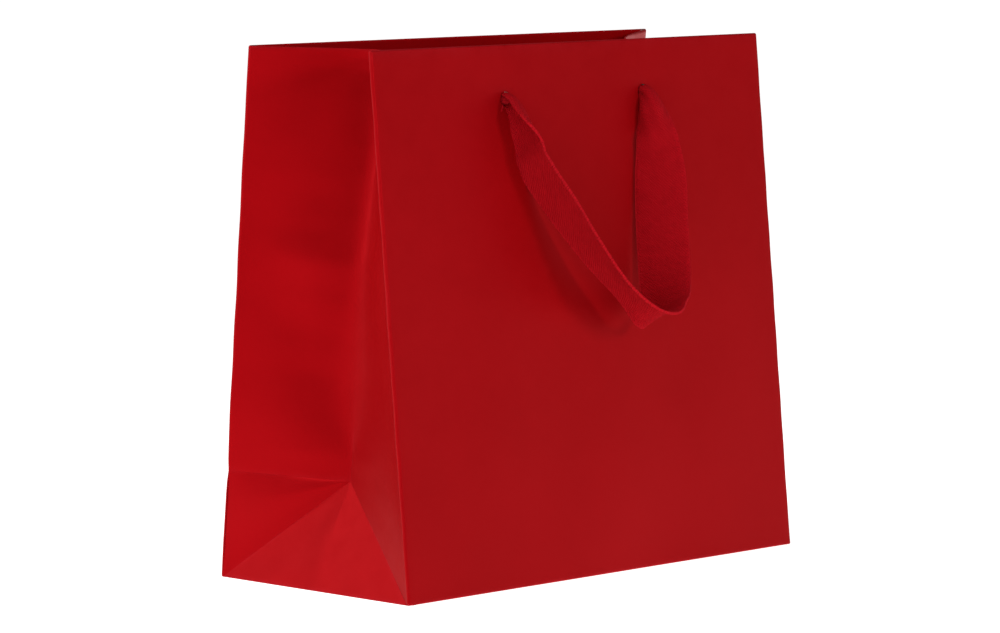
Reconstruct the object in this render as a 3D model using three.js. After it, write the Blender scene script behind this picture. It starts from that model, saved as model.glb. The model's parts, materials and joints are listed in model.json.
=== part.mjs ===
// Gift bag: a folded-paper tote with V-folded side gussets and two hanging tape handles.
// Millimetres, +Z up, front panel facing -Y, origin at the middle of the resting face.
import * as THREE from "three";

// --- driving dimensions -------------------------------------------------
const WIDTH = 200; // across the front panel
const DEPTH = 95; // across the base, front to rear
const HEIGHT = 190; // length of a panel, measured along its face
const LEAN = THREE.MathUtils.degToRad(5.45); // how far front and back lean inward
const PAPER = 0.25; // laminated paper
const GAP = 0.12; // air between glued layers
const CREASE = 38.5; // height of the fold-up crease along the back panel
const APEX = [81.5, 36.5]; // |x| and z where all the gusset creases meet
const MOUTH_CREASE = [62.7, 187]; // |x| and z of the gusset's centre crease at the mouth
const HEM = 32; // depth of the turned-in top edge
const BOARD = 0.7; // card under the hem
const CARD = 0.6; // card on the base
const HOLE_R = 2.75; // punched hole
const HOLE_X = 35.6; // half the hole spacing
const HOLE_DROP = 19.3; // hole centre below the top edge
const TAPE = 0.9; // thickness of the woven tape
const TAPE_W = 20; // width of the woven tape
const EDGE = 0.5; // clearance between a gusset facet and its neighbours

const RED = new THREE.MeshStandardMaterial({ color: 0xa81219, roughness: 0.4, side: THREE.DoubleSide });
const GREY = new THREE.MeshStandardMaterial({ color: 0xb9b4aa, roughness: 0.9 });
const CRIMSON = new THREE.MeshStandardMaterial({ color: 0x8f0a12, roughness: 0.95 });

const part = new THREE.Group();

function add(name, geometry, material) {
  const mesh = new THREE.Mesh(geometry, material);
  mesh.name = name;
  part.add(mesh);
}

// A frame on the front panel's outer face: x across, y up the panel, z outward.
// The back panel is the same frame turned half a turn about the vertical.
function panelFrame(isBack) {
  const across = new THREE.Vector3(1, 0, 0);
  const up = new THREE.Vector3(0, Math.sin(LEAN), Math.cos(LEAN));
  const out = new THREE.Vector3(0, -Math.cos(LEAN), Math.sin(LEAN));
  const frame = new THREE.Matrix4().makeBasis(across, up, out);
  frame.setPosition(0, -DEPTH / 2, 0);
  if (isBack) frame.premultiply(new THREE.Matrix4().makeRotationZ(Math.PI));
  return frame;
}

// --- solids from sheets and outlines ------------------------------------

// Extrudes a flat outline (with optional round holes) from depth `near` to `far`, inward.
function plate(outline, holes, near, far, frame) {
  const shape = new THREE.Shape(outline.map(([x, y]) => new THREE.Vector2(x, y)));
  for (const [x, y, r] of holes) {
    const hole = new THREE.Path();
    hole.absarc(x, y, r, 0, 2 * Math.PI, true);
    shape.holes.push(hole);
  }
  const geometry = new THREE.ExtrudeGeometry(shape, {
    depth: far - near,
    bevelEnabled: false,
    curveSegments: 20,
  });
  geometry.translate(0, 0, -far);
  return geometry.applyMatrix4(frame);
}

function rectangle(x0, x1, y0, y1) {
  return [[x0, y0], [x1, y0], [x1, y1], [x0, y1]];
}

// Thickens a grid of points into one closed sheet; it grows on the side of -normal.
function thickSheet(grid, thickness) {
  const rows = grid.length;
  const cols = grid[0].length;
  const at = (i, j) => grid[Math.min(Math.max(i, 0), rows - 1)][Math.min(Math.max(j, 0), cols - 1)];
  const points = [];
  for (let side = 0; side < 2; side++) {
    for (let i = 0; i < rows; i++) {
      for (let j = 0; j < cols; j++) {
        const du = at(i, j + 1).clone().sub(at(i, j - 1));
        const dv = at(i + 1, j).clone().sub(at(i - 1, j));
        const normal = du.cross(dv).normalize();
        points.push(at(i, j).clone().addScaledVector(normal, -side * thickness));
      }
    }
  }
  const id = (side, i, j) => side * rows * cols + i * cols + j;
  const faces = [];
  const quad = (a, b, c, d) => faces.push(a, b, c, a, c, d);
  for (let i = 0; i < rows - 1; i++) {
    for (let j = 0; j < cols - 1; j++) {
      quad(id(0, i, j), id(0, i, j + 1), id(0, i + 1, j + 1), id(0, i + 1, j));
      quad(id(1, i + 1, j), id(1, i + 1, j + 1), id(1, i, j + 1), id(1, i, j));
    }
  }
  for (let j = 0; j < cols - 1; j++) {
    quad(id(1, 0, j), id(1, 0, j + 1), id(0, 0, j + 1), id(0, 0, j));
    quad(id(0, rows - 1, j), id(0, rows - 1, j + 1), id(1, rows - 1, j + 1), id(1, rows - 1, j));
  }
  for (let i = 0; i < rows - 1; i++) {
    quad(id(0, i, 0), id(0, i + 1, 0), id(1, i + 1, 0), id(1, i, 0));
    quad(id(1, i, cols - 1), id(1, i + 1, cols - 1), id(0, i + 1, cols - 1), id(0, i, cols - 1));
  }
  return meshOf(points, faces);
}

function meshOf(points, faces) {
  const geometry = new THREE.BufferGeometry();
  geometry.setAttribute("position", new THREE.Float32BufferAttribute(points.flatMap((p) => p.toArray()), 3));
  geometry.setIndex(faces);
  return geometry;
}

// The four-cornered patch between edge a0-a1 and edge b0-b1.
function patch(a0, a1, b0, b1, rows, cols) {
  const grid = [];
  for (let i = 0; i <= rows; i++) {
    const a = a0.clone().lerp(a1, i / rows);
    const b = b0.clone().lerp(b1, i / rows);
    const row = [];
    for (let j = 0; j <= cols; j++) row.push(a.clone().lerp(b, j / cols));
    grid.push(row);
  }
  return grid;
}

// A flat triangular facet a-b-c, pulled in by `inset` on every side, thickened on the -normal side.
function facet(a, b, c, inset, thickness) {
  const area = b.clone().sub(a).cross(c.clone().sub(a)).length() / 2;
  const inradius = (2 * area) / (a.distanceTo(b) + b.distanceTo(c) + c.distanceTo(a));
  const corners = [a, b, c].map((p) => p.clone().lerp(incentre(a, b, c), inset / inradius));
  const normal = b.clone().sub(a).cross(c.clone().sub(a)).normalize();
  const back = corners.map((p) => p.clone().addScaledVector(normal, -thickness));
  const faces = [0, 1, 2, 3, 5, 4];
  for (let k = 0; k < 3; k++) {
    const next = (k + 1) % 3;
    faces.push(k, k + 3, next + 3, k, next + 3, next);
  }
  return meshOf([...corners, ...back], faces);
}

function incentre(a, b, c) {
  const la = b.distanceTo(c);
  const lb = c.distanceTo(a);
  const lc = a.distanceTo(b);
  const sum = a.clone().multiplyScalar(la).addScaledVector(b, lb).addScaledVector(c, lc);
  return sum.divideScalar(la + lb + lc);
}

// Reverses every triangle of a mirrored solid so it faces outward again.
function mirrored(geometry, sx, sy) {
  const copy = geometry.clone();
  copy.applyMatrix4(new THREE.Matrix4().makeScale(sx, sy, 1));
  if (sx * sy < 0) {
    const index = copy.getIndex();
    for (let i = 0; i < index.count; i += 3) {
      const a = index.getX(i);
      index.setX(i, index.getX(i + 1));
      index.setX(i + 1, a);
    }
  }
  return copy;
}

// --- front and back panels ----------------------------------------------

function addPanels() {
  const holes = [-HOLE_X, HOLE_X].map((x) => [x, HEIGHT - HOLE_DROP, HOLE_R]);
  const inner = PAPER + GAP;
  const hem = inner + BOARD + GAP;
  for (const [name, isBack] of [["front", false], ["back", true]]) {
    const frame = panelFrame(isBack);
    const low = isBack ? CREASE + 0.3 : 0;
    const half = WIDTH / 2;
    const boardHalf = half - 5;
    const panel = rectangle(-half, half, low, HEIGHT);
    const board = rectangle(-boardHalf, boardHalf, HEIGHT - HEM, HEIGHT - 0.5);
    add(`${name}_panel`, plate(panel, holes, 0, PAPER, frame), RED);
    add(`${name}_top_board`, plate(board, holes, inner, inner + BOARD, frame), GREY);
    add(`${name}_hem`, plate(board, holes, hem, hem + PAPER, frame), RED);
    for (const [side, x] of [["left", -HOLE_X], ["right", HOLE_X]]) {
      add(`${name}_knot_${side}`, knot(isBack ? -x : x, hem + PAPER, frame), CRIMSON);
    }
  }
  const strip = rectangle(-WIDTH / 2, WIDTH / 2, 0, CREASE - 0.3);
  add("back_lower_panel", plate(strip, [], 0, PAPER, panelFrame(true)), RED);
  const seam = rectangle(WIDTH / 2 - 16, WIDTH / 2 - 2.5, CREASE + 3, HEIGHT - HEM - 3);
  add("seam_flap", plate(seam, [], inner, inner + PAPER, panelFrame(true)), RED);
}

// The tape's stopper knot: a lump against the hem inside, a neck through the hole and, outside
// the panel, the short root about which the handle swings.
function knot(x, depth, frame) {
  const neck = HOLE_R - 0.4;
  const lump = depth + 0.15;
  const tall = 4.4;
  const root = [[0, -4.6], [1.2, -4.5], [1.9, -4], [2.2, -3.2]];
  const profile = [...root, [neck, -1], [neck, lump]];
  for (let k = 0; k <= 10; k++) {
    const turn = (k / 10) * Math.PI;
    const r = Math.max(neck + 0.1, 4.3 * Math.sin(turn) ** 0.7);
    if (k > 0 && k < 10) profile.push([r, lump + (tall / 2) * (1 - Math.cos(turn))]);
  }
  profile.push([0, lump + tall]);
  const points = profile.map(([r, d]) => new THREE.Vector2(r, -d)).reverse();
  const geometry = new THREE.LatheGeometry(points, 28);
  geometry.rotateX(Math.PI / 2);
  geometry.translate(x, HEIGHT - HOLE_DROP, 0);
  return geometry.applyMatrix4(frame);
}

// --- side gussets --------------------------------------------------------

// A point on the left edge of the front panel, `v` up the panel and `d` inside its outer face.
function edgePoint(v, d) {
  const y = -DEPTH / 2 + v * Math.sin(LEAN) + d * Math.cos(LEAN);
  return new THREE.Vector3(-WIDTH / 2 + 0.1, y, v * Math.cos(LEAN) - d * Math.sin(LEAN));
}

function addGussets() {
  const side = PAPER + EDGE;
  const mouth = new THREE.Vector3(-MOUTH_CREASE[0], -0.35, MOUTH_CREASE[1]);
  const apex = new THREE.Vector3(-APEX[0], -0.35, APEX[1]);
  const foot = edgePoint(2.2, side);
  const kink = edgePoint(CREASE + 0.9, side);
  const top = edgePoint(HEIGHT - 0.3, side);

  // Front half: the whole height of the front edge to the centre crease.
  const front = patch(apex, mouth, foot, top, 24, 8);
  const frontHalf = thickSheet(front, PAPER);
  // Rear half: above the fold-up crease, written on the front edge and mirrored.
  const rear = patch(apex, mouth, kink, top, 20, 8);
  const rearHalf = mirrored(thickSheet(rear, PAPER), 1, -1);
  const frontHem = thickSheet(hemPatch(front), PAPER);
  const rearHem = mirrored(thickSheet(hemPatch(rear), PAPER), 1, -1);

  // Foot triangle standing on the base's side edge.
  const point = new THREE.Vector3(-APEX[0], 0, APEX[1]);
  const baseFront = new THREE.Vector3(-WIDTH / 2 + 0.1, -DEPTH / 2 + 0.6, 0.1);
  const baseRear = new THREE.Vector3(-WIDTH / 2 + 0.1, DEPTH / 2 - 0.6, 0.1);
  const footFacet = facet(baseRear, baseFront, point, 0.35, PAPER);
  // Low rear facet between the foot triangle and the fold-up crease.
  const kinkRear = edgePoint(CREASE, side).multiply(new THREE.Vector3(1, -1, 1));
  const lowRear = edgePoint(1.5, side).multiply(new THREE.Vector3(1, -1, 1));
  const lowFacet = facet(kinkRear, lowRear, point, 0.4, PAPER);

  for (const [name, sx] of [["left", 1], ["right", -1]]) {
    add(`${name}_gusset_front`, mirrored(frontHalf, sx, 1), RED);
    add(`${name}_gusset_rear`, mirrored(rearHalf, sx, 1), RED);
    add(`${name}_hem_front`, mirrored(frontHem, sx, 1), RED);
    add(`${name}_hem_rear`, mirrored(rearHem, sx, 1), RED);
    add(`${name}_foot_facet`, mirrored(footFacet, sx, 1), RED);
    add(`${name}_low_facet`, mirrored(lowFacet, sx, 1), RED);
  }
}

// The turned-in edge of a gusset half: the top of its patch, moved inside the bag.
function hemPatch(grid) {
  const rows = grid.length - 1;
  const span = grid[0].length - 1;
  const first = Math.round(rows * (1 - HEM / (HEIGHT - CREASE)));
  const picked = [];
  for (let i = first; i <= rows; i++) {
    const row = [];
    for (let j = 0; j <= span; j++) {
      const t = 0.02 + (0.88 * j) / span;
      const p = grid[i][0].clone().lerp(grid[i][span], t);
      const along = grid[i][span].clone().sub(grid[i][0]);
      const up = grid[i][0].clone().sub(grid[i === rows ? i - 1 : i + 1][0]);
      if (i !== rows) up.negate();
      const inward = along.cross(up).normalize().negate();
      row.push(p.addScaledVector(inward, PAPER + GAP));
    }
    picked.push(row);
  }
  return picked;
}

// --- base ------------------------------------------------------------------

function addBase() {
  const flat = new THREE.Matrix4().makeTranslation(0, 0, 0);
  const half = DEPTH / 2 - 0.6;
  const level = (k) => k * (PAPER + GAP);
  const slab = (outline, z0, z1) => plate(outline, [], -z1, -z0, flat);
  add("base_rear_flap", slab(rectangle(-98.9, 98.9, -10, half), 0, PAPER), RED);
  add("base_front_flap", slab(rectangle(-98.5, 98.5, -half, 9), level(1), level(1) + PAPER), RED);
  const flap = [[-98.1, -half + 1], [-58, -22], [-58, 22], [-98.1, half - 1]];
  const other = flap.map(([x, y]) => [-x, -y]);
  add("base_left_flap", slab(flap, level(2), level(2) + PAPER), RED);
  add("base_right_flap", slab(other, level(2), level(2) + PAPER), RED);
  add("base_board", slab(rectangle(-97.3, 97.3, -half + 1, half - 1), level(3), level(3) + CARD), GREY);
}

// --- handles -----------------------------------------------------------------

// The tape's middle line, from one knot to the other: [across, outward from the panel, height].
const HANDLE_LINE = [
  [-HOLE_X, 3.9, 167.1],
  [-35.4, 5.2, 163.2],
  [-34.6, 7.6, 157.2],
  [-33, 10.8, 148.2],
  [-29, 14.5, 130.2],
  [-22, 20, 113.2],
  [-12, 27, 96.2],
  [0, 30, 89.7],
  [12, 28, 93.2],
  [22, 22, 110.2],
  [25.5, 18, 130.2],
  [31, 12.4, 148.2],
  [34, 8, 157.2],
  [35.3, 5.2, 163.2],
  [HOLE_X, 3.9, 167.1],
];

// A closed swept tape that stands edge-on to the panel and rolls up towards both knots.
function tape() {
  const lean = (z) => -DEPTH / 2 + z * Math.tan(LEAN);
  const line = new THREE.CatmullRomCurve3(
    HANDLE_LINE.map(([x, o, z]) => new THREE.Vector3(x, lean(z) - o, z)),
    false,
    "centripetal",
  );
  const steps = 72;
  const cols = 10;
  const length = line.getLength();
  const grid = [];
  for (let i = 0; i <= steps; i++) {
    const s = i / steps;
    const p = line.getPointAt(s);
    const t = line.getTangentAt(s);
    const fromEnd = Math.min(s, 1 - s) * length;
    const open = THREE.MathUtils.smoothstep(fromEnd, 0, 34);
    const roll = THREE.MathUtils.lerp(4.9, 0.5, open);
    const width = THREE.MathUtils.lerp(10.2, TAPE_W - 0.5, open);
    const radius = width / roll;
    const outward = new THREE.Vector3(0, -1, 0);
    const flat = outward.addScaledVector(t, -outward.dot(t)).normalize();
    const face = t.clone().cross(flat).normalize();
    const row = [];
    for (let j = 0; j <= cols; j++) {
      const angle = (j / cols - 0.5) * roll;
      const across = radius * Math.sin(angle);
      const rise = radius * (1 - Math.cos(angle)) - radius * (1 - open) - TAPE / 2;
      row.push(p.clone().addScaledVector(flat, across).addScaledVector(face, rise));
    }
    grid.push(row);
  }
  return thickSheet(grid, TAPE);
}

function addHandles() {
  const front = tape();
  add("front_handle", front, CRIMSON);
  add("rear_handle", front.clone().rotateZ(Math.PI), CRIMSON);
}

addPanels();
addGussets();
addBase();
addHandles();

export default part;
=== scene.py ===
"""Gift bag: the looks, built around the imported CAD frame.

Lengths are in millimetres until mesh_from() scales them. The front panel faces -y.
"""
import json
import math

import bmesh
import bpy
import numpy as np
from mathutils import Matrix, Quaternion, Vector


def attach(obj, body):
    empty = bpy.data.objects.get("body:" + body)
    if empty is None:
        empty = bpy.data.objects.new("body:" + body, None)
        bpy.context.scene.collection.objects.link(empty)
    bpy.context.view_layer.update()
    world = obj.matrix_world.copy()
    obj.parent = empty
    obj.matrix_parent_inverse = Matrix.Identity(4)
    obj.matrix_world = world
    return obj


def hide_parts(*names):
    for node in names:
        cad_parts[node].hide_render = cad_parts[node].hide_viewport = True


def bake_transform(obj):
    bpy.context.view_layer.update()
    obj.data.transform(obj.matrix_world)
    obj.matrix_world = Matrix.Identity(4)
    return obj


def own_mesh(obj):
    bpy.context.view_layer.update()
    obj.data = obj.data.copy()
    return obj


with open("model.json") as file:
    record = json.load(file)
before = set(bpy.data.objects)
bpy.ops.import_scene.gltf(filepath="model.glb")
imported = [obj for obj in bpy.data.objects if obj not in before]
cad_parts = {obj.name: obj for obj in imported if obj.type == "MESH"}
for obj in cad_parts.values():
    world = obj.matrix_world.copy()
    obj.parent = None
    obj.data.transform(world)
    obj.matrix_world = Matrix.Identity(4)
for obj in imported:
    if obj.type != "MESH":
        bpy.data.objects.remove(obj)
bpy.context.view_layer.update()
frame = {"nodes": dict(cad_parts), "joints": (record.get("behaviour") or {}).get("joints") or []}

# --- driving dimensions, the same as the CAD part's -----------------------------------
WIDTH, DEPTH, HEIGHT = 200.0, 95.0, 190.0  # HEIGHT is measured along a panel's face
LEAN = math.radians(5.45)  # how far front and back lean inward
SIN, COS = math.sin(LEAN), math.cos(LEAN)
PAPER, GAP, BOARD = 0.25, 0.12, 0.7  # sheet, air between glued layers, card under the hem
STACK = 2 * PAPER + 2 * GAP + BOARD  # panel, card and hem together
CREASE = 38.5  # height of the fold-up crease along the back panel
APEX = np.array([-81.5, 0.0, 36.5])  # where the left gusset's creases meet
MOUTH = np.array([-62.7, 0.0, 187.0])  # the left gusset's centre crease at the mouth
HEM = 32.0  # depth of the turned-in top edge
HOLE_R, HOLE_X, HOLE_V = 2.75, 35.6, HEIGHT - 19.3  # radius, distance from the middle, height
TAPE, TAPE_W = 0.9, 20.0  # thickness and width of the woven tape

# --- dimensions of the looks ----------------------------------------------------------
EDGE_R = 0.8  # outside radius of the folded side edges
FOLD_R = 0.4  # outside radius of the fold at the foot
HOLE_HALF = 6.0  # half of the square of cells that punch() reworks round each hole
GUSSET_FOLD, FOOT_FOLD, LOW_FOLD = 48.01, 59.01, 63.01  # degrees each turns as the bag folds flat
TWIST = 2.6  # how far the back panel's mouth corners have turned out of square
MM = 0.001

# --- studio values, lengths in metres -------------------------------------------------
AIM = Vector((0, 0, 0.1))  # the point that the camera and the lights face
CAMERA_AZIMUTH, CAMERA_ELEVATION, CAMERA_DISTANCE = -46.09, 5.41, 1.735
CAMERA_LENS, CAMERA_SHIFT = 172.9, (-0.0122, -0.0309)
LIGHT_DISTANCE = 1.5
LIGHTS = [  # name, azimuth and elevation in degrees, size, power in watts
    ("key", 7.6, 17, 0.26, 4.9),
    ("high_left", -95, 60, 1.1, 9.0),
    ("low_left", -93, 10, 0.7, 1.0),
    ("rear_left", -125, 28, 1.0, 7.0),
    ("fill", -35, 18, 0.4, 1.0),
]
WORLD_LIGHT = 0.115  # strength of the white surroundings
FLOOR_GLOW = 0.95
FLOOR_REACH, FLOOR_DROP = 60.0, 0.00005  # half the ground's side, and how far it lies under the bag


# --- mesh helpers ---------------------------------------------------------------------
def settle(points):
    """The bag stands a little out of square: the back panel's left side leans back, its right forward."""
    points = np.array(points, float)
    depth = DEPTH / 2 - points[:, 2] * math.tan(LEAN)
    share = np.clip((points[:, 1] / depth + 1) / 2, 0, 1)
    points[:, 1] -= TWIST * points[:, 0] / (WIDTH / 2) * points[:, 2] / (HEIGHT * COS) * share
    return points


def lattice(us, vs):
    """Points and counter-clockwise quads of a grid in the sheet's own flat coordinates."""
    columns = len(us)
    points = np.array([(u, v) for v in vs for u in us], float)
    quads = [
        (j * columns + i, j * columns + i + 1, (j + 1) * columns + i + 1, (j + 1) * columns + i)
        for j in range(len(vs) - 1)
        for i in range(columns - 1)
    ]
    return points, np.array(quads)


def punch(points, quads, centre, half, radius, rings=7):
    """Replaces the square of cells round a hole by rings that close in on the round rim."""
    offset = points - np.array(centre)
    cell = offset[quads].mean(axis=1)
    quads = quads[np.abs(cell).max(axis=1) > half]
    rim = np.where(np.isclose(np.abs(offset).max(axis=1), half, atol=1e-4))[0]
    rim = rim[np.argsort(np.arctan2(offset[rim, 1], offset[rim, 0]))]
    count = len(rim)
    angle = np.arctan2(offset[rim, 1], offset[rim, 0])
    circle = np.array(centre) + radius * np.column_stack([np.cos(angle), np.sin(angle)])
    ring, added, faces = rim, [], []
    for k in range(1, rings + 1):
        share = 1 - (1 - k / rings) ** 1.5
        fresh = len(points) + (k - 1) * count + np.arange(count)
        added.append(points[rim] * (1 - share) + circle * share)
        for i in range(count):
            n = (i + 1) % count
            faces.append((ring[i], ring[n], fresh[n], fresh[i]))
        ring = fresh
    return np.vstack([points, *added]), np.vstack([quads, faces])


def sheet_normals(points, place, step=0.04):
    """Unit normals of place(u, v), by small steps to either side."""
    u, v = points[:, 0], points[:, 1]
    along_u = place(u + step, v) - place(u - step, v)
    along_v = place(u, v + step) - place(u, v - step)
    normal = np.cross(along_u, along_v)
    return normal / np.maximum(np.linalg.norm(normal, axis=1, keepdims=True), 1e-12)


def shell(name, points, quads, place, thickness, materials, side=1, wear_and_highlight=None):
    """A closed sheet: its outer face is place(u, v), and its inner face lies `thickness` behind it."""
    used, quads = np.unique(quads, return_inverse=True)
    points, quads = points[used], quads.reshape(-1, 4)
    outer = place(points[:, 0], points[:, 1])
    inner = outer - side * sheet_normals(points, place) * thickness
    count = len(points)
    front = quads if side > 0 else quads[:, ::-1]
    edges = {(int(q[k]), int(q[(k + 1) % 4])) for q in front for k in range(4)}
    rim = [(b, a, a + count, b + count) for a, b in sorted(edges) if (b, a) not in edges]
    faces = [*front.tolist(), *(front[:, ::-1] + count).tolist(), *rim]
    slots = [0] * len(front) + [1] * len(front) + [0] * len(rim)
    worn_and_lit = np.zeros(count) if wear_and_highlight is None else wear_and_highlight(points[:, 0], points[:, 1])
    verts = np.vstack([outer, inner])
    flat = np.vstack([points, points])
    return mesh_from(name, verts, faces, materials, slots, flat, worn_and_lit=np.tile(worn_and_lit, 2))


def mesh_from(name, verts, faces, materials, slots=None, flat=None, sharp=38, worn_and_lit=None):
    """A smooth-shaded object from millimetre points.

    `slots` gives each face its material, `flat` becomes the UV map and `worn_and_lit` marks the folds for
    rubbing and a painted highlight.
    """
    mesh = bpy.data.meshes.new(name)
    mesh.from_pydata((settle(verts) * MM).tolist(), [], faces)
    for material in materials:
        mesh.materials.append(material)
    if slots is not None:
        mesh.polygons.foreach_set("material_index", slots)
    if flat is not None:
        corners = np.array([loop.vertex_index for loop in mesh.loops])
        cut = mesh.uv_layers.new(name="cut")
        cut.data.foreach_set("uv", np.asarray(flat, np.float32)[corners].ravel())
    if worn_and_lit is not None:
        fold = mesh.attributes.new("worn_and_lit", "FLOAT", "POINT")
        fold.data.foreach_set("value", np.asarray(worn_and_lit, np.float32))
    clean = bmesh.new()
    clean.from_mesh(mesh)
    bmesh.ops.remove_doubles(clean, verts=clean.verts, dist=1e-7)
    bmesh.ops.dissolve_degenerate(clean, edges=clean.edges, dist=1e-7)
    clean.to_mesh(mesh)
    clean.free()
    mesh.polygons.foreach_set("use_smooth", [True] * len(mesh.polygons))
    mesh.set_sharp_from_angle(angle=math.radians(sharp))
    obj = bpy.data.objects.new(name, mesh)
    bpy.context.scene.collection.objects.link(obj)
    return obj


def finish_piece(obj, body, slot, *nodes):
    """Hides the CAD nodes of a piece, and lets it ride on a body if one is named; `slot` is not used."""
    if body is not None:
        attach(obj, body)
    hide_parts(*nodes)


def runs(*stretches):
    """Joins evenly spaced stretches (start, end, steps) into one rising list of positions."""
    values = [stretches[0][0]]
    for start, end, steps in stretches:
        values.extend(np.linspace(start, end, steps + 1)[1:])
    return np.array(values)


def ease(x, low, high):
    """Rises smoothly from 0 at `low` to 1 at `high`."""
    t = np.clip((x - low) / (high - low), 0, 1)
    return t * t * (3 - 2 * t)


def hump(x, middle, width):
    """A smooth bump of height 1."""
    return np.exp(-(((x - middle) / width) ** 2))


def waves(a, b, seed, length):
    """A smooth, repeatable unevenness of about -1 to 1 over lengths of `length` mm."""
    rng = np.random.default_rng(seed)
    total = 0
    for _ in range(6):
        turn, phase, stretch = rng.uniform(0, 2 * math.pi), rng.uniform(0, 7), rng.uniform(0.7, 1.6)
        along = a * math.cos(turn) + b * math.sin(turn)
        total = total + np.sin(along * 2 * math.pi * stretch / length + phase)
    return total / 3.5


# --- materials ------------------------------------------------------------------------
class Nodes:
    """Short names for building one node tree."""

    def __init__(self, name):
        self.material = bpy.data.materials.new(name)
        self.material.use_nodes = True
        self.tree = self.material.node_tree
        self.shader = self.tree.nodes["Principled BSDF"]

    def add(self, kind, **values):
        """A new node with its settings and input values; an underscore in an input stands for a space."""
        node = self.tree.nodes.new(kind)
        for key, value in values.items():
            if hasattr(node, key):
                setattr(node, key, value)
            else:
                node.inputs[key.replace("_", " ")].default_value = value
        return node

    def link(self, a, b):
        self.tree.links.new(a, b)

    def drive(self, **sockets):
        """Links outputs to the shader's sockets; an underscore in a name stands for a space."""
        for key, output in sockets.items():
            self.link(output, self.shader.inputs[key.replace("_", " ")])

    def settings(self, **sockets):
        """Constant values, set on the shader's own sockets."""
        for key, value in sockets.items():
            self.shader.inputs[key.replace("_", " ")].default_value = value

    def math(self, operation, a, b=0.0):
        """A maths node; each operand is a number or an output."""
        node = self.add("ShaderNodeMath", operation=operation)
        for socket, value in zip(node.inputs, (a, b)):
            if isinstance(value, (int, float)):
                socket.default_value = value
            else:
                self.link(value, socket)
        return node.outputs[0]

    def ramp(self, factor, *stops):
        """A colour ramp through stops of (position, colour)."""
        node = self.add("ShaderNodeValToRGB")
        while len(node.color_ramp.elements) < len(stops):
            node.color_ramp.elements.new(0.5)
        for element, (where, colour) in zip(node.color_ramp.elements, stops):
            element.position = where
            element.color = (*colour, 1)
        self.link(factor, node.inputs["Fac"])
        return node.outputs["Color"]

    def mix(self, factor, a, b, blend="MIX"):
        """A colour mix; each operand is a number, a colour or an output."""
        node = self.add("ShaderNodeMix", data_type="RGBA", blend_type=blend)
        values = {"Factor": factor, "A": a, "B": b}
        for socket in node.inputs:
            if socket.name in values and socket.enabled and socket.type in ("VALUE", "RGBA"):
                value = values.pop(socket.name)
                if isinstance(value, (int, float)):
                    socket.default_value = value
                elif isinstance(value, tuple):
                    socket.default_value = (*value, 1)
                else:
                    self.link(value, socket)
        return next(o for o in node.outputs if o.enabled and o.type == "RGBA")

    def noise(self, vector, scale, detail=3.0, roughness=0.55):
        """Noise at `scale` cells to the metre."""
        node = self.add("ShaderNodeTexNoise", Scale=scale, Detail=detail, Roughness=roughness)
        self.link(vector, node.inputs["Vector"])
        return node.outputs["Fac"]

    def bump(self, height, distance, strength=1.0, normal=None):
        """A bump of `distance` metres on top of another normal, if one is given."""
        node = self.add("ShaderNodeBump", Strength=strength, Distance=distance)
        self.link(height, node.inputs["Height"])
        if normal is not None:
            self.link(normal, node.inputs["Normal"])
        return node.outputs["Normal"]

    def place(self):
        """The piece's own coordinates, in metres."""
        return self.add("ShaderNodeTexCoord").outputs["Object"]


def grey(value):
    """A neutral colour."""
    return (value, value, value)


def laminated_paper(name, low, high):
    """Red art paper under a satin film, with fold lines painted paler for rubbing and as a painted
    highlight, and a faint ripple in the film.
    """
    n = Nodes(name)
    place = n.place()
    cloud = n.noise(place, 11.0, 4.0)
    colour = n.ramp(cloud, (0.3, low), (0.7, high))
    worn_and_lit = n.add("ShaderNodeAttribute", attribute_name="worn_and_lit").outputs["Fac"]
    patchy = n.ramp(n.noise(place, 120.0, 5.0, 0.7), (0.35, grey(0.15)), (0.68, grey(1.0)))
    rubbed_and_lit = n.math("MULTIPLY", worn_and_lit, patchy)
    # Folds turn a paler pink: partly rubbing, partly a painted highlight along the fold lines.
    n.drive(Base_Color=n.mix(n.math("MULTIPLY", rubbed_and_lit, 0.55), colour, (0.50, 0.020, 0.030)))
    smooth = n.ramp(n.noise(place, 150.0, 3.0), (0.3, grey(0.33)), (0.7, grey(0.40)))
    n.drive(Roughness=n.mix(rubbed_and_lit, smooth, grey(0.55)))
    ripple = n.bump(n.noise(place, 60.0, 3.0), 0.00010, 0.5)
    fibre = n.noise(place, 1100.0, 4.0, 0.7)
    n.drive(Normal=n.bump(fibre, 0.000008, 0.5, ripple))
    n.settings(Metallic=0.3, Specular_IOR_Level=0.15, Specular_Tint=(1.0, 0.03, 0.05, 1))
    return n.material


def plain_paper():
    """The uncoated white back of the paper."""
    n = Nodes("white_paper_back")
    fibre = n.noise(n.place(), 600.0, 5.0, 0.7)
    n.drive(Base_Color=n.ramp(fibre, (0.3, (0.66, 0.64, 0.6)), (0.7, (0.76, 0.74, 0.71))))
    n.drive(Normal=n.bump(fibre, 0.00003, 0.5))
    n.settings(Roughness=0.9)
    return n.material


def grey_board():
    """Grey recycled board with dark flecks."""
    n = Nodes("grey_board")
    place = n.place()
    fibre = n.noise(place, 350.0, 6.0, 0.75)
    fleck = n.ramp(n.noise(place, 1500.0, 2.0), (0.62, grey(1.0)), (0.7, (0.5, 0.44, 0.38)))
    base = n.ramp(fibre, (0.3, (0.4, 0.37, 0.32)), (0.7, (0.52, 0.49, 0.44)))
    n.drive(Base_Color=n.mix(1.0, base, fleck, "MULTIPLY"), Normal=n.bump(fibre, 0.00006, 0.6))
    n.settings(Roughness=0.95)
    return n.material


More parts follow.
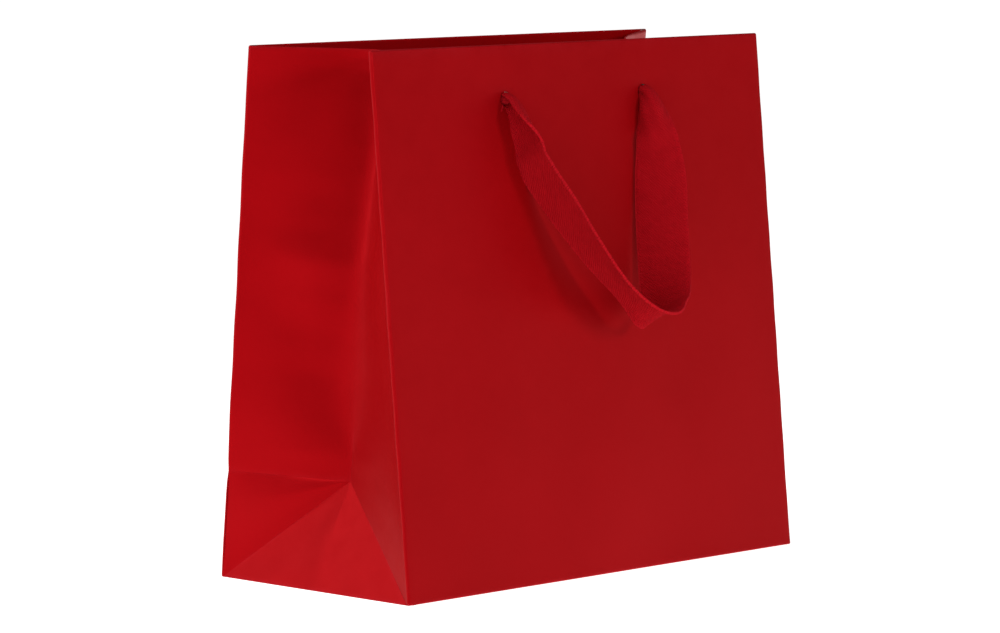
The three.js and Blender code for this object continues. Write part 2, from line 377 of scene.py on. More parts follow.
def woven_tape():
    """Cotton twill tape: slanting ribs crossed by fine picks, a fuzzy face and paler selvedges."""
    n = Nodes("woven_cotton_tape")
    split = n.add("ShaderNodeSeparateXYZ")
    n.link(n.add("ShaderNodeUVMap", uv_map="cut").outputs["UV"], split.inputs[0])
    across, along = split.outputs["X"], split.outputs["Y"]
    rib_pitch, pick_pitch = 1.1, 0.8
    rib_run = n.math("ADD", along, n.math("MULTIPLY", across, 0.9))
    pick_run = n.math("SUBTRACT", n.math("MULTIPLY", across, 1.4), along)
    rib = n.math("SINE", n.math("MULTIPLY", rib_run, 2 * math.pi / rib_pitch))
    pick = n.math("SINE", n.math("MULTIPLY", pick_run, 2 * math.pi / pick_pitch))
    weave = n.math("ADD", n.math("MULTIPLY", rib, 0.6), n.math("MULTIPLY", pick, 0.4))
    place = n.place()
    fuzz = n.noise(place, 1500.0, 5.0, 0.8)
    slub = n.noise(place, 230.0, 4.0, 0.65)
    level = n.math("ADD", n.math("MULTIPLY", weave, 0.10), n.math("MULTIPLY", slub, 0.4))
    deep, middle, pale = (0.37, 0.0024, 0.0066), (0.45, 0.0034, 0.0086), (0.54, 0.0052, 0.0120)
    colour = n.ramp(level, (0.0, deep), (0.2, middle), (0.42, pale))
    near_edge = n.math("GREATER_THAN", n.math("ABSOLUTE", across), TAPE_W / 2 - 1.1)
    n.drive(Base_Color=n.mix(n.math("MULTIPLY", near_edge, 0.22), colour, (0.60, 0.012, 0.022)))
    nap = n.math("ADD", n.math("MULTIPLY", fuzz, 2.2), n.math("MULTIPLY", slub, 2.5))
    n.drive(Normal=n.bump(n.math("ADD", weave, nap), 0.0002, 0.9))
    n.settings(Roughness=0.95, Specular_IOR_Level=0.05, Sheen_Weight=0.06, Sheen_Roughness=0.5)
    n.settings(Sheen_Tint=(0.9, 0.05, 0.07, 1))
    return n.material


def studio_floor():
    """Matt white ground that glows a little, so that it reads as the plain backdrop."""
    n = Nodes("studio_floor")
    n.drive(Base_Color=n.ramp(n.noise(n.place(), 3.0), (0.3, grey(0.78)), (0.7, grey(0.80))))
    n.settings(Roughness=1.0, Specular_IOR_Level=0.0)
    n.settings(Emission_Color=(1, 1, 1, 1), Emission_Strength=FLOOR_GLOW)
    return n.material


RED = laminated_paper("red_laminated_paper", (0.345, 0.0022, 0.0042), (0.385, 0.0030, 0.0056))
# The hem's red is painted lighter than the outer red: painted light on the dim inside of the mouth.
PAINTED_LIGHT_HEM_RED = laminated_paper("red_hem_paper_painted_light", (0.46, 0.0022, 0.0042), (0.51, 0.0030, 0.0056))
WHITE, CARD, WOVEN = plain_paper(), grey_board(), woven_tape()


# --- the panels -----------------------------------------------------------------------
def to_bag(x, v, n, back):
    """A point `v` up a panel and `n` proud of its outer face, for the front or the back panel."""
    y = -DEPTH / 2 + v * SIN - n * COS
    return np.column_stack([x, -y if back else y, v * COS + n * SIN])


def foot_of(back):
    """Height on a panel's side edge at which the gusset half beside it starts."""
    return CREASE if back else 0.0


def roundness(w):
    """How soft the gusset's centre crease is, from its apex (0) to the mouth (1); 0 is a sharp fold."""
    return 0.8 * ease(w, 0.05, 0.4) * (1 - 0.7 * ease(w, 0.42, 0.8))


def bowl(q, rho):
    """Share of the way out from the crease (q = 0) to the panel edge (q = 1), level at a soft crease."""
    return (np.sqrt(q * q + rho * rho) - rho) / (np.sqrt(1 + rho * rho) - rho)


def gusset_angle(v, back):
    """Angle between a panel and the gusset half that hangs on its side edge, at height v."""
    v = np.clip(v, 0, HEIGHT)
    w = np.clip((v - foot_of(back)) / (HEIGHT - foot_of(back)), 0, 1)
    corner = to_bag(np.full(len(v), -WIDTH / 2), v, np.zeros(len(v)), False)
    run = APEX * (1 - w[:, None]) + MOUTH * w[:, None] - corner
    rho = roundness(w)
    steep = 1 / (np.sqrt(1 + rho * rho) * (np.sqrt(1 + rho * rho) - rho))
    return np.arctan2(run @ np.array([0, COS, -SIN]), run[:, 0] * steep)


def panel_seed(back):
    """The seed of a panel's ripples, the same for all of its layers."""
    return 3 if back else 1


def unevenness(x, v, seed):
    """How far a panel stands proud of its plane: a slight crown, ripples and the pull at the holes."""
    middle = np.cos(np.pi * np.clip(x / WIDTH, -0.5, 0.5))
    crown = 0.5 * middle * np.sin(np.pi * np.clip(v / HEIGHT, 0, 1))
    ripple = 0.13 * middle * waves(x, v, seed, 70)
    pull = sum(-0.22 * np.exp(-((x - h) ** 2 + (v - HOLE_V) ** 2) / 30) for h in (-HOLE_X, HOLE_X))
    return crown + ripple + pull


def panel_place(back):
    """A panel's outer face in flat paper coordinates.

    It turns round both side edges, over the top and under the foot.
    """
    top_r = STACK / 2
    seed = panel_seed(back)

    def place(u, v):
        over = np.clip((v - (HEIGHT - top_r)) / top_r, 0, math.pi)
        past = np.maximum(v - (HEIGHT - top_r) - math.pi * top_r, 0)
        under = np.clip((FOLD_R - v) / FOLD_R, 0, math.pi / 2 + LEAN)
        tail = np.maximum((FOLD_R - v) - FOLD_R * (math.pi / 2 + LEAN), 0)
        height = np.clip(v, FOLD_R, HEIGHT - top_r)
        height = height + top_r * np.sin(over) - past - FOLD_R * np.sin(under) + tail * SIN
        proud = unevenness(u, height, seed)
        proud = proud - top_r * (1 - np.cos(over)) - FOLD_R * (1 - np.cos(under)) - tail * COS
        if back:  # the fold-up crease is pressed in
            proud = proud - 0.6 * np.exp(-np.abs(height - CREASE) / 5)
        flat = WIDTH / 2 - EDGE_R
        turn = math.pi - gusset_angle(height, back)
        a = np.abs(u)
        t = np.clip((a - flat) / EDGE_R, 0, turn)
        straight = np.maximum(a - flat - EDGE_R * turn, 0)
        wander = 0.12 * waves(height, 0 * height, seed + 20, 28) * ease(a, flat - 6, flat)
        x = np.where(a < flat, a, flat + (EDGE_R + proud) * np.sin(t) + straight * np.cos(t)) + wander
        n = np.where(a < flat, proud, -EDGE_R + (EDGE_R + proud) * np.cos(t) - straight * np.sin(t))
        return to_bag(np.sign(u) * x, height, n, back)

    return place


PANEL_TOP = HEIGHT - STACK / 2  # where the paper starts to turn over
PANEL_RIM = PANEL_TOP + STACK / 4 * math.pi  # the very top of the turn
PANEL_INSIDE = PANEL_TOP + STACK / 2 * math.pi  # where the hem starts to run down
PANEL_START = 2.0  # where the coarse rows start, above the fold at the foot
FRONT_TAIL, BACK_TAIL = -3.2, -0.6  # how far the paper runs on past the foot, as a height


def across_values():
    """Column positions over the flat of a panel, fitted to the squares round the two holes."""
    flat = WIDTH / 2 - EDGE_R
    near, far = HOLE_X - HOLE_HALF, HOLE_X + HOLE_HALF
    return runs((-flat, -far, 24), (-far, -near, 8), (-near, near, 26), (near, far, 8), (far, flat, 24))


def panel_lattice(vs, back):
    """A panel's flat grid, with ten columns round each side edge to where the gusset half takes over."""
    flat = WIDTH / 2 - EDGE_R
    bend = np.linspace(0, 1, 11)[1:]
    points, quads = lattice(np.concatenate([-flat - bend[::-1], across_values(), flat + bend]), vs)
    over = np.abs(points[:, 0]) - flat
    turn = math.pi - gusset_angle(points[:, 1], back)
    length = np.maximum(over, 0) * EDGE_R * turn
    points[:, 0] = np.where(over > 1e-9, np.sign(points[:, 0]) * (flat + length), points[:, 0])
    return points, quads


def panel_wear_and_highlight(u, v):
    """Rubbing and painted highlight on a panel: faint along the side folds, strong over the top and at
    the foot.
    """
    side = (0.2 + 0.15 * waves(v, 3 * u, 41, 60)) * hump(np.abs(u), WIDTH / 2 + 0.35, 0.7)
    return np.clip(side + hump(v, HEIGHT + 0.3, 0.9) + hump(v, 0.1, 0.7), 0, 1)


def with_holes(points, quads, height):
    """The same sheet with both handle holes punched at one height."""
    for across in (-HOLE_X, HOLE_X):
        points, quads = punch(points, quads, (across, height), HOLE_HALF, HOLE_R)
    return points, quads


def past_hole(low, hole, high, steps_below, steps_above):
    """Row stretches from `low` to `high`, fitted to the square round a hole."""
    under, over = hole - HOLE_HALF, hole + HOLE_HALF
    return (low, under, steps_below), (under, over, 8), (over, high, steps_above)


def build_panels():
    """Both panels, each with its hem and card, then the back's lower strip and the glued seam."""
    for name, back in (("front", False), ("back", True)):
        build_panel(name, back)
        build_hem(name, back)
        build_board(name, back)
    build_strip()
    build_seam()


def build_panel(name, back):
    """A panel's outer sheet, up to the rim of its turned-over top."""
    steps_below = 32 if back else 36
    low = CREASE if back else PANEL_START
    foot = () if back else ((FRONT_TAIL, PANEL_START, 16),)
    rows = runs(*foot, *past_hole(low, HOLE_V, PANEL_TOP, steps_below, 3), (PANEL_TOP, PANEL_RIM, 6))
    points, quads = with_holes(*panel_lattice(rows, back), HOLE_V)
    body = f"{name}_panel"
    side = -1 if back else 1
    place = panel_place(back)
    panel = shell(f"{body}_paper", points, quads, place, PAPER, [RED, WHITE], side, panel_wear_and_highlight)
    finish_piece(panel, body, "red_paper", body)


def build_hem(name, back):
    """The part of a panel's sheet that is turned in over the card, from the rim down."""
    columns = across_values()
    columns = columns[np.abs(columns) <= WIDTH / 2 - 2.5]
    hole = PANEL_INSIDE + PANEL_TOP - HOLE_V
    turn = (PANEL_RIM, PANEL_INSIDE, 6)
    rows = runs(turn, *past_hole(PANEL_INSIDE, hole, PANEL_INSIDE + HEM - 1, 3, 5))
    points, quads = with_holes(*lattice(columns, rows), hole)
    side = -1 if back else 1
    hem = shell(f"{name}_hem_paper", points, quads, panel_place(back), PAPER, [PAINTED_LIGHT_HEM_RED, WHITE], side)
    finish_piece(hem, f"{name}_panel", "red_paper", f"{name}_hem")


def build_board(name, back):
    """The stiffening card between a panel and its hem."""
    columns = across_values()
    columns = columns[np.abs(columns) <= WIDTH / 2 - 5]
    rows = runs(*past_hole(HEIGHT - HEM, HOLE_V, HEIGHT - 0.9, 4, 5))
    points, quads = with_holes(*lattice(columns, rows), HOLE_V)
    side = -1 if back else 1
    place = panel_behind(back, PAPER + GAP)
    board = shell(f"{name}_top_card", points, quads, place, BOARD, [CARD, CARD], side)
    finish_piece(board, f"{name}_panel", "grey_card", f"{name}_top_board")


def build_strip():
    """The strip of the back below its fold-up crease."""
    points, quads = panel_lattice(runs((BACK_TAIL, PANEL_START, 10), (PANEL_START, CREASE, 9)), True)
    place = panel_place(True)
    strip = shell("back_lower_paper", points, quads, place, PAPER, [RED, WHITE], -1, panel_wear_and_highlight)
    finish_piece(strip, "back_strip", "red_paper", "back_lower_panel")


def build_seam():
    """The glued flap that closes the sheet inside the back's left edge."""
    columns, rows = np.linspace(-97.5, -84, 6), np.linspace(CREASE + 3, HEIGHT - HEM - 3, 24)
    place = panel_behind(True, PAPER + GAP)
    flap = shell("seam_flap_paper", *lattice(columns, rows), place, PAPER, [WHITE, WHITE], -1)
    finish_piece(flap, "back_panel", "red_paper", "seam_flap")


def panel_behind(back, depth):
    """The surface `depth` behind a panel's outer face."""
    return lambda u, v: to_bag(u, v, unevenness(u, v, panel_seed(back)) - depth, back)


# --- the gussets ----------------------------------------------------------------------
def edge_line(back):
    """The line where the left folded edge ends and a gusset half starts, as a function of height v."""
    place = panel_place(back)

    def line(v):
        v = np.maximum(v, FOLD_R)
        turn = math.pi - gusset_angle(v, back)
        return place(-(WIDTH / 2 - EDGE_R + EDGE_R * turn), v)

    return line


# How far the gusset's middle stands out (+) or is sucked in (-), by height: the settled bag's own dents.
GUSSET_RELIEF = [
    (37, 0.0),
    (46, 0.6),
    (58, 1.2),
    (70, 1.8),
    (84, 3.1),
    (100, 4.8),
    (113, 5.8),
    (124, 4.0),
    (138, 2.2),
    (152, 0.9),
    (168, -1.2),
    (179, -2.6),
    (183, -2.2),
    (190, 0.0),
]


def relief(z):
    """The gusset's relief at height z, eased from each listed height to the next."""
    heights, outs = np.array(GUSSET_RELIEF).T
    k = np.clip(np.searchsorted(heights, z, side="right") - 1, 0, len(heights) - 2)
    t = ease(z, heights[k], heights[k + 1])
    t = 0.5 * t + 0.5 * np.clip((z - heights[k]) / (heights[k + 1] - heights[k]), 0, 1)
    return outs[k] * (1 - t) + outs[k + 1] * t


def dents(q, z, back):
    """How far a gusset half stands outward; q runs from its panel edge (0) to the centre crease (1)."""
    reach = ease(q, 0.02, 0.6) * (1 - 0.6 * ease(q, 0.6, 1))
    soft = 0.8 * hump(z, 78, 14) * hump(q, 0.28, 0.25)
    ripple = 0.16 * waves(z, 50 * q, 11 if back else 12, 55) * (1 - q)
    if back:
        start = ease(z, CREASE - 1.5 * q, CREASE + 5 + 7 * q)
    else:
        start = ease(z, 4 + 33 * q, 22 + 28.5 * q)
    return (reach * relief(z + 5 * q - 4) + (soft + ripple) * np.sin(np.pi * np.clip(q, 0, 1))) * start


def gusset_place(back, sx):
    """The outer face of one gusset half: s from the panel's edge to the crease, t up and over the top.

    Returns it with the half's height and width, and the radius of its turn at the mouth.
    """
    line = edge_line(back)
    low = foot_of(back)
    tall, wide = HEIGHT - low, DEPTH / 2
    r = PAPER + GAP / 2

    def bare(s, t):
        w = np.clip(t / tall, -0.02, 1)
        edge = line(low + w * tall)
        crease = APEX * (1 - w[:, None]) + MOUTH * w[:, None]
        q = np.clip(s / wide, 0, 1)[:, None]
        p = edge * (1 - q) + crease * q
        out = bowl(1 - q[:, 0], roundness(w))
        p[:, 0] = edge[:, 0] * out + crease[:, 0] * (1 - out)
        return p

    def place(s, t):
        over = np.clip((t - (tall - r)) / r, 0, math.pi)
        past = np.maximum(t - (tall - r) - math.pi * r, 0)
        up = np.clip(t, None, tall - r) + r * np.sin(over) - past
        p = bare(s, up)
        du = bare(s + 0.5, up) - bare(s - 0.5, up)
        dv = bare(s, up) - bare(s, up - 1.0)
        n = np.cross(du, dv) if back else np.cross(dv, du)
        n = n / np.maximum(np.linalg.norm(n, axis=1, keepdims=True), 1e-9)
        p = p - n * (r * (1 - np.cos(over)))[:, None]
        p[:, 0] -= dents(s / wide, p[:, 2], back)
        p[:, 0] *= sx
        return p

    return place, tall, wide, r


def gusset_wear_and_highlight(tall, wide):
    """Rubbing and painted highlight on a gusset half: over the mouth, at its foot and on the lower centre
    crease.
    """

    def wear_and_highlight(s, t):
        crease = 0.2 * hump(s, wide, 0.7) * ease(-t, -70, -10)
        return np.clip(0.5 * hump(t, tall, 0.8) + 0.2 * hump(t, 0, 1.2) + crease, 0, 1)

    return wear_and_highlight


def build_gussets():
    """Four gusset halves, each with its own turned-in hem."""
    for side, sx in (("left", 1), ("right", -1)):
        for half, back in (("front", False), ("rear", True)):
            place, tall, wide, r = gusset_place(back, sx)
            facing = sx if back else -sx
            body = f"{side}_gusset_{half}"
            top, rim, inside = tall - r, tall - r + r * math.pi / 2, tall - r + r * math.pi
            rows = runs((0, 20, 20), (20, tall - 14, 50), (tall - 14, top, 16), (top, rim, 4))
            grid = lattice(np.linspace(0, wide, 41), rows)
            wear_and_highlight = gusset_wear_and_highlight(tall, wide)
            sheet = shell(f"{body}_paper", *grid, place, PAPER, [RED, WHITE], facing, wear_and_highlight)
            finish_piece(sheet, body, "red_paper", body)
            hem_rows = runs((rim, inside, 4), (inside, tall + HEM - 1, 24))
            grid = lattice(np.linspace(2.5, wide - 0.3, 35), hem_rows)
            hem = shell(f"{side}_hem_{half}_paper", *grid, place, PAPER, [PAINTED_LIGHT_HEM_RED, WHITE], facing)
            finish_piece(hem, body, "red_paper", f"{side}_hem_{half}")
            for piece in (sheet, hem):
                flatten(piece, side, half)


def close_flat(obj, joint_name, angle, spots):
    """Turns three spots of the open bag by `angle` degrees about the named joint and gives the sheet a
    mesh of its own; nothing further is done with the spots, so the sheet does not go flat.
    """
    joint = next(j for j in frame["joints"] if j["name"] == joint_name)
    at = Vector(joint["pos_m"])
    opened = Quaternion(Vector(joint["axis"]).normalized(), -math.radians(angle))
    a, b, c = (opened @ (Vector(spot * MM) - at) + at for spot in settle(spots))
    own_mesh(obj)


def behind_panel(back, spots):
    """Points given as (across, up, depth) behind a panel's outer face."""
    u, v, depth = np.array(spots, float).T
    return panel_behind(back, depth)(u, v)


def flatten(obj, side, half):
    """Passes a gusset half to close_flat() with three spots just behind its panel's card and hem."""
    out = 1 if side == "right" else -1
    spots = [(98 * out, 50, 0.7), (98 * out, 185, 1.9), (52 * out, 175, 2.3)]
    spots = behind_panel(half == "rear", spots)
    close_flat(obj, f"{side}_gusset_{half}_fold", GUSSET_FOLD, spots)


def flatten_facet(obj, side, name):
    """Passes a foot facet to close_flat() with spots at the base's board, and a low facet with spots on
    the back strip.
    """
    out = 1 if side == "right" else -1
    if name == "foot":
        spots = [(99 * out, -40, 1.95), (99 * out, 40, 1.95), (62 * out, 0, 2.3)]
        close_flat(obj, f"{side}_foot_fold", FOOT_FOLD, spots)
    else:
        spots = behind_panel(True, [(98 * out, 4, 0.9), (98 * out, 36, 0.95), (66 * out, 20, 0.95)])
        close_flat(obj, f"{side}_low_fold", LOW_FOLD, spots)


def triangle_place(base, tip, belly, sx):
    """A facet between its base line (w = 0, u from -1 to 1) and its tip (w = 1)."""
    start, middle, end = base(np.array([-1.0, 0.0, 1.0]))
    normal = np.cross(end - start, tip - middle)
    normal = normal / np.linalg.norm(normal)

    def place(u, w):
        p = base(u) * (1 - w[:, None]) + tip * w[:, None]
        p = p + normal * belly(u, w)[:, None]
        p[:, 0] *= sx
        return p

    return place


def line_between(a, b):
    """The straight line from a (u = -1) to b (u = 1)."""
    return lambda u: a * ((1 - u[:, None]) / 2) + b * ((1 + u[:, None]) / 2)


def foot_belly(u, w):
    """How far the foot facet swells: over its whole face, along its middle and in small ripples."""
    edge = (1 - np.abs(u)) * (1 - w)
    seam = 0.9 * hump(u, 0, 0.16 + 0.2 * w) * np.sin(np.pi * np.clip(w, 0, 1)) ** 0.8
    swell = 1.5 * edge * w * (1 - 0.4 * np.abs(u))
    return swell + 0.35 * seam * (1 - w) + 0.12 * edge * waves(40 * u, 50 * w, 31, 30)


def low_belly(u, w):
    """How far the low facet swells, with a tuck under the level crease."""
    rise = np.sin(np.pi * np.clip(w, 0, 1))
    tuck = 1.2 * (1 - np.exp(-(1 + u) / 0.35)) * ease(1 - u, 0, 1.5)
    swell = 1.0 * (1 - u * u) * rise
    return (tuck + swell) * rise**0.6


def foot_wear_and_highlight(u, w):
    """Rubbing and painted highlight along the foot and both slanting creases."""
    return np.clip(hump(w, 0, 0.02) + 0.6 * hump(np.abs(u), 1, 0.03), 0, 1)


def low_wear_and_highlight(u, w):
    """Rubbing and painted highlight along both slanting creases."""
    return np.clip(0.3 * hump(np.abs(u), 1, 0.04), 0, 1)


def build_feet():
    """The triangle that stands on each side edge of the base, and the low facet behind it."""
    front = edge_line(False)(np.array([FOLD_R]))[0]
    rear, kink = edge_line(True)(np.array([FOLD_R, CREASE]))
    front[2] = rear[2] = 0.04  # just clear of the ground
    tip = APEX + [0.25, 0, 0.3]  # just inside the gusset's apex, so that no gap shows there
    grid = lattice(np.linspace(-1, 1, 49), np.linspace(0, 1, 37))
    for side, sx in (("left", 1), ("right", -1)):
        for name, base, belly, wear_and_highlight, body in (
            ("foot", line_between(rear, front), foot_belly, foot_wear_and_highlight, f"{side}_foot"),
            ("low", line_between(kink, rear), low_belly, low_wear_and_highlight, f"{side}_low_facet"),
        ):
            place = triangle_place(base, tip, belly, sx)
            facet = shell(f"{side}_{name}_facet_paper", *grid, place, PAPER, [RED, WHITE], sx, wear_and_highlight)
            finish_piece(facet, body, "red_paper", f"{side}_{name}_facet")
            flatten_facet(facet, side, name)


# --- tape handles ---------------------------------------------------------------------
# The tape's middle line from knot to knot: across, outward from the panel and height, then
# the direction of its width (across, outward, up) and the room it takes across its width.
TAPE_LINE = [
    (-35.6, -0.4, 170.0, 0, 0.05, 1, 3.8),
    (-35.8, 2.1, 168.6, 0, 0.6, 0.8, 5),
    (-36.4, 3.9, 164.0, 0, 1, 0.15, 10.5),
    (-35.4, 5.8, 157.5, 0, 1, 0, 17.5),
    (-31.2, 8.6, 147, 0, 1, 0, 19.5),
    (-24, 12.2, 134, 0, 1, 0, 19.5),
    (-15, 16.4, 119, -0.1, 1, 0, 19.5),
    (-6, 19.6, 106.5, -0.3, 1, 0.05, 19.5),
    (3, 21.2, 98, -0.38, 1, 0.15, 19.5),
    (11, 20.6, 93.5, -0.35, 1, 0.3, 19.5),
    (18.5, 17.8, 92.5, -0.1, 1, 0.38, 19.5),
    (24.5, 14, 96.5, 0.3, 1, 0.25, 19.5),
    (28.5, 11, 107, 0.75, 1, 0.05, 19.5),
    (31, 9.2, 124, 1, 1, 0, 19.5),
    (33, 8.2, 141, 1, 1, 0, 19.0),
    (34.0, 6.8, 154, 1, 1, 0, 15),
    (34.6, 4.3, 163.0, 0.7, 1, 0.1, 9),
    (35.4, 2.1, 168.4, 0.2, 0.6, 0.8, 4.8),
    (35.6, -0.4, 170.0, 0, 0.05, 1, 3.8),
]


def smooth_line(rows, count):
    """A smooth curve through the rows, resampled at even distances along its first three columns."""
    rows = np.asarray(rows, float)
    gap = np.linalg.norm(np.diff(rows[:, :3], axis=0), axis=1) ** 0.5
    knots = np.concatenate([[0], np.cumsum(gap)])
    slope = np.gradient(rows, knots, axis=0)
    fine = np.linspace(0, knots[-1], count * 4)
    k = np.clip(np.searchsorted(knots, fine, side="right") - 1, 0, len(knots) - 2)
    h = (knots[k + 1] - knots[k])[:, None]
    t = (fine - knots[k])[:, None] / h
    curve = rows[k] * (2 * t**3 - 3 * t**2 + 1) + slope[k] * h * (t**3 - 2 * t**2 + t)
    curve += rows[k + 1] * (3 * t**2 - 2 * t**3) + slope[k + 1] * h * (t**3 - t**2)
    for _ in range(1500):
        curve[1:-1] = curve[1:-1] * 0.5 + (curve[:-2] + curve[2:]) * 0.25
    run = np.concatenate([[0], np.cumsum(np.linalg.norm(np.diff(curve[:, :3], axis=0), axis=1))])
    even = np.linspace(0, run[-1], count)
    return np.column_stack([np.interp(even, run, column) for column in curve.T])


def unit(vectors):
    """Each row at length 1."""
    return vectors / np.linalg.norm(vectors, axis=1, keepdims=True)


def tape_place():
    """The tape's surface in its own flat coordinates: u across from the middle, v along."""
    rows = smooth_line(TAPE_LINE, 700)
    y = -DEPTH / 2 + rows[:, 2] * math.tan(LEAN) - rows[:, 1]
    centre = np.column_stack([rows[:, 0], y, rows[:, 2]])
    run = np.concatenate([[0], np.cumsum(np.linalg.norm(np.diff(centre, axis=0), axis=1))])
    length = run[-1]
    tangent = unit(np.gradient(centre, run, axis=0))
    wide = rows[:, 3:6] * [1, -1, 1]
    wide = unit(wide - tangent * (wide * tangent).sum(axis=1, keepdims=True))
    face = np.cross(tangent, wide)
    table = np.column_stack([centre, wide, face, rows[:, 6]])
    cut = TAPE_W - TAPE

    def place(u, v):
        at = np.column_stack([np.interp(v, run, column) for column in table.T])
        gather = 1 - ease(np.minimum(v, length - v), 0, 24)  # 1 in the hole, 0 from 24 mm on
        q = u / cut
        roll = 0.5 + 4.3 * gather  # how far round the tape curls across its width, in radians
        room = at[:, 9] * cut / TAPE_W
        radius = np.minimum(cut / roll, room / (2 * np.sin(np.minimum(roll / 2, math.pi / 2))))
        angle = q * roll
        across = radius * np.sin(angle)
        rise = radius * (1 - np.cos(angle)) - radius * gather
        flute = 0.3 * gather * np.cos(q * 19) + 0.3 * (1 - gather) * waves(v, 1.5 * u, 5, 38)
        edge = 0.10 * (hump(np.abs(u), TAPE_W / 2 - 1.0, 0.4) - hump(np.abs(u), TAPE_W / 2 - 1.7, 0.3))
        lift = rise + flute + edge + TAPE / 2
        return at[:, 0:3] + at[:, 3:6] * across[:, None] + at[:, 6:9] * lift[:, None]

    return place, length


def turned_half_round(place):
    """The same surface on the other side of the bag."""
    return lambda u, v: place(u, v) * [-1, -1, 1]


def build_handles():
    """Both tapes, bending from the panel into the hanging loop just below the holes."""
    front_place, length = tape_place()
    half = (TAPE_W - TAPE) / 2
    grid = lattice(np.linspace(-half, half, 49), np.linspace(0, length, 361))
    for name, knots, turn in (("front", "front", 1), ("rear", "back", -1)):
        place = front_place if turn > 0 else turned_half_round(front_place)
        tape = shell(f"{name}_handle_tape", *grid, place, TAPE, [WOVEN, WOVEN], -1)
        finish_piece(tape, None, "woven_tape", f"{name}_handle")
        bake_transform(tape)


# --- stopper knots --------------------------------------------------------------------
class Tube:
    """Collects rings of points and the faces between them."""

    def __init__(self, sides):
        self.sides = sides
        self.verts, self.faces = [], []

    def ring(self, centre, a, b, radii):
        """Adds one ring round `centre`, in the plane of a and b."""
        angle = np.linspace(0, 2 * math.pi, self.sides, endpoint=False)
        round_a, round_b = np.outer(radii * np.cos(angle), a), np.outer(radii * np.sin(angle), b)
        self.verts.extend(centre + round_a + round_b)

    def skin(self, first, rings, closed):
        """Joins rings from vertex `first` on; a closed run joins its last ring to its first."""
        for k in range(rings if closed else rings - 1):
            for i in range(self.sides):
                j, m = (i + 1) % self.sides, (k + 1) % rings
                at, to = first + k * self.sides, first + m * self.sides
                self.faces.append((at + i, at + j, to + j, to + i))


def build_knots():
    """Each stopper knot: the gathered tape through the hole and an overhand knot against the hem."""
    for name, back in (("front", False), ("back", True)):
        for side, across in (("left", -HOLE_X), ("right", HOLE_X)):
            x = -across if back else across
            tube = Tube(28)
            turn = np.linspace(0, 2 * math.pi, tube.sides, endpoint=False)
            neck_of_tape(tube, x, 1 + 0.08 * np.cos(5 * turn))
            knot_loop(tube, x, -(STACK + 2.5), across < 0)
            local = np.array(tube.verts)
            world = to_bag(local[:, 0], local[:, 1], local[:, 2], back)
            faces = tube.faces if back else [f[::-1] for f in tube.faces]
            flat = np.column_stack([local[:, 0] * 2, local[:, 2] * 2])
            knot = mesh_from(f"{name}_knot_{side}_tape", world, faces, [WOVEN], flat=flat, sharp=60)
            finish_piece(knot, f"{name}_panel", "woven_tape", f"{name}_knot_{side}")


def neck_of_tape(tube, x, pleats):
    """The tape gathered into a pleated neck that runs through the hole."""
    profile = [(1.5, 0.2), (1.2, 0.9), (0.7, 1.4), (-0.1, 1.7), (-0.9, 1.9), (-1.8, 2.1), (-3.4, 1.4)]
    for proud, radius in profile:
        tube.ring(np.array([x, HOLE_V, proud]), np.array([1, 0, 0]), np.array([0, 1, 0]), radius * pleats)
    tube.skin(0, len(profile), False)
    tube.faces.append(tuple(range(tube.sides))[::-1])
    tube.faces.append(tuple(range((len(profile) - 1) * tube.sides, len(profile) * tube.sides)))


def knot_loop(tube, x, depth, flip):
    """A flattened overhand loop of rolled tape, centred behind the hole."""
    steps = 110
    t = np.linspace(0, 2 * math.pi, steps, endpoint=False)
    loop = [np.sin(t) + 2 * np.sin(2 * t), np.cos(t) - 2 * np.cos(2 * t), -1.15 * np.sin(3 * t)]
    path = np.column_stack(loop) * [-0.95 if flip else 0.95, 0.95, 0.95] + [x, HOLE_V, depth]
    tangent = unit(np.roll(path, -1, axis=0) - np.roll(path, 1, axis=0))
    out = unit(np.cross(tangent, [0, 0, 1.0]))
    up = np.cross(out, tangent)
    radii = 1.35 * (1 + 0.12 * np.cos(4 * np.linspace(0, 2 * math.pi, tube.sides, endpoint=False)))
    first = len(tube.verts)
    for k in range(steps):
        tube.ring(path[k], out[k] * 1.05, up[k] * 0.85, radii)
    tube.skin(first, steps, True)


# --- the CAD nodes that stay ----------------------------------------------------------
def dress_base():
    """The base's flat layers keep their CAD shape and get real paper and board."""
    for name, node in frame["nodes"].items():
        if name.startswith("base_"):
            node.data.materials.clear()
            node.data.materials.append(CARD if name == "base_board" else RED)


# --- studio ---------------------------------------------------------------------------
def direction(azimuth, elevation):
    """Unit vector from the bag out, in degrees; azimuth 0 is in front and grows toward the right."""
    a, e = math.radians(azimuth), math.radians(elevation)
    return Vector((math.sin(a) * math.cos(e), -math.cos(a) * math.cos(e), math.sin(e)))


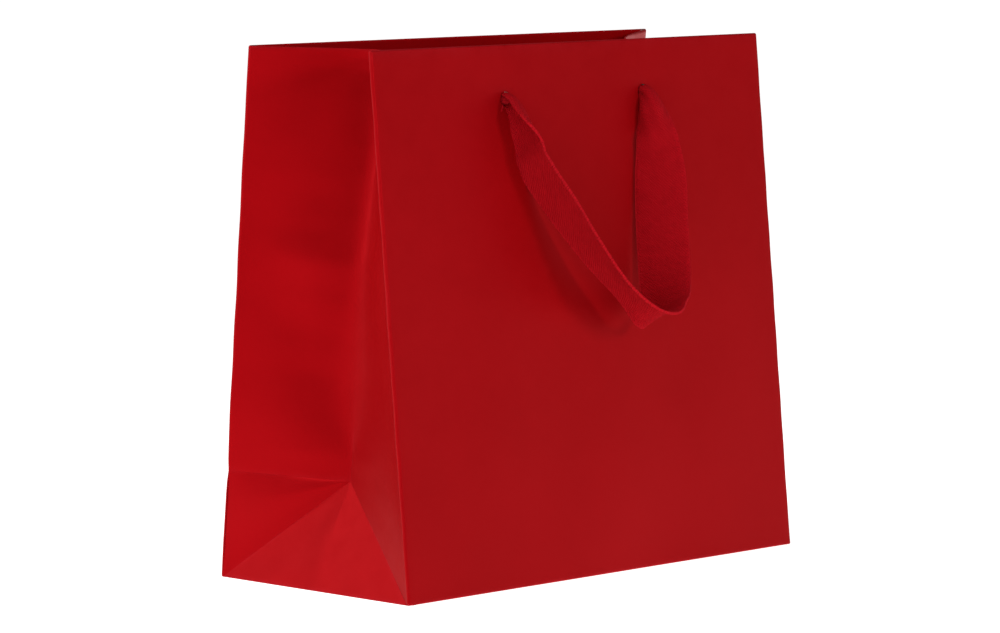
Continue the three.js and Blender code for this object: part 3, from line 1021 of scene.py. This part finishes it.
def area_light(name, azimuth, elevation, size, power):
    """A round soft light that faces the bag."""
    light = bpy.data.lights.new(name, "AREA")
    light.shape, light.size, light.energy = "DISK", size, power
    obj = bpy.data.objects.new(name, light)
    back = direction(azimuth, elevation)
    obj.location = AIM + back * LIGHT_DISTANCE
    obj.rotation_euler = back.to_track_quat("Z", "Y").to_euler()
    bpy.context.scene.collection.objects.link(obj)


def build_world():
    """Plain white surroundings, shown without any tone curve."""
    scene = bpy.context.scene
    scene.view_settings.view_transform = "Standard"
    world = bpy.data.worlds.new("studio")
    world.use_nodes = True
    background = world.node_tree.nodes["Background"]
    background.inputs["Color"].default_value = (1, 1, 1, 1)
    background.inputs["Strength"].default_value = WORLD_LIGHT
    scene.world = world


def build_floor():
    """A wide plain ground just under the bag."""
    signs = ((-1, -1), (1, -1), (1, 1), (-1, 1))
    corners = [(x * FLOOR_REACH, y * FLOOR_REACH, -FLOOR_DROP) for x, y in signs]
    mesh = bpy.data.meshes.new("floor")
    mesh.from_pydata(corners, [], [(0, 1, 2, 3)])
    mesh.materials.append(studio_floor())
    floor = bpy.data.objects.new("floor", mesh)
    bpy.context.scene.collection.objects.link(floor)


def build_camera():
    """The camera in front and to the left of the bag, with its frame shifted instead of turned."""
    camera = bpy.data.cameras.new("camera")
    camera.sensor_width, camera.lens = 36, CAMERA_LENS
    camera.shift_x, camera.shift_y = CAMERA_SHIFT
    camera.clip_start, camera.clip_end = 0.05, 200
    obj = bpy.data.objects.new("camera", camera)
    back = direction(CAMERA_AZIMUTH, CAMERA_ELEVATION)
    obj.location = AIM + back * CAMERA_DISTANCE
    obj.rotation_mode = "QUATERNION"
    obj.rotation_quaternion = (-back).to_track_quat("-Z", "Y")
    bpy.context.scene.collection.objects.link(obj)
    bpy.context.scene.camera = obj


def build_studio():
    """World, lights, floor and camera."""
    build_world()
    for light in LIGHTS:
        area_light(*light)
    build_floor()
    build_camera()


build_studio()
build_panels()
build_gussets()
build_feet()
build_handles()
build_knots()
dress_base()
